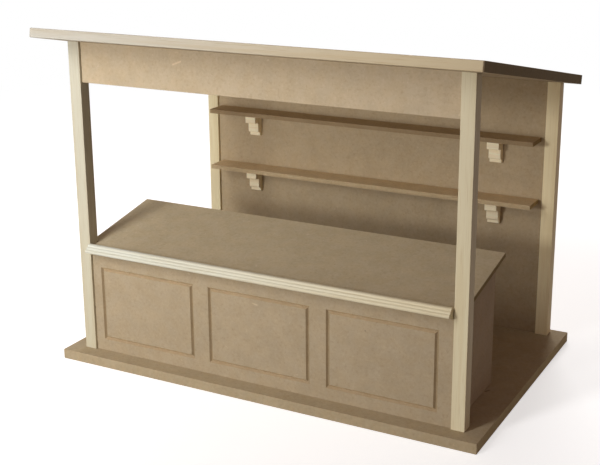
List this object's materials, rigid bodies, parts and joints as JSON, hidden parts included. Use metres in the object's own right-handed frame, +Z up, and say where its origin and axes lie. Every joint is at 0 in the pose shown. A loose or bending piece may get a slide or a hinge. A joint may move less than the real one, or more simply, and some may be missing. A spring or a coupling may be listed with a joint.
{
  "type": "miniature wooden market stall",
  "caption": "Small open-fronted market stall with corner posts, a roof that slopes to the back, a sloping display counter and shelves on the back wall.",
  "frame": {"origin": "centre of the base plate's underside, on the ground", "axes": "+X along the counter to the right as a customer sees it, -Y towards the customer, +Z up"},
  "size_m": [0.294, 0.1966, 0.225],
  "materials": {
    "mdf": "bare fibreboard",
    "pine": "bare planed wood"
  },
  "bodies": {
    "root": {"base_plate": "mdf", "roof_panel": "mdf", "fascia_board": "mdf", "back_wall": "mdf", "counter_front": "mdf", "counter_left_side": "mdf", "counter_right_side": "mdf", "counter_top": "mdf", "upper_shelf": "mdf", "lower_shelf": "mdf", "front_left_post": "pine", "front_right_post": "pine", "back_left_post": "pine", "back_right_post": "pine", "roof_front_strip": "pine", "counter_rail": "pine", "upper_left_bracket": "pine", "upper_right_bracket": "pine", "lower_left_bracket": "pine", "lower_right_bracket": "pine"}
  },
  "joints": []
}
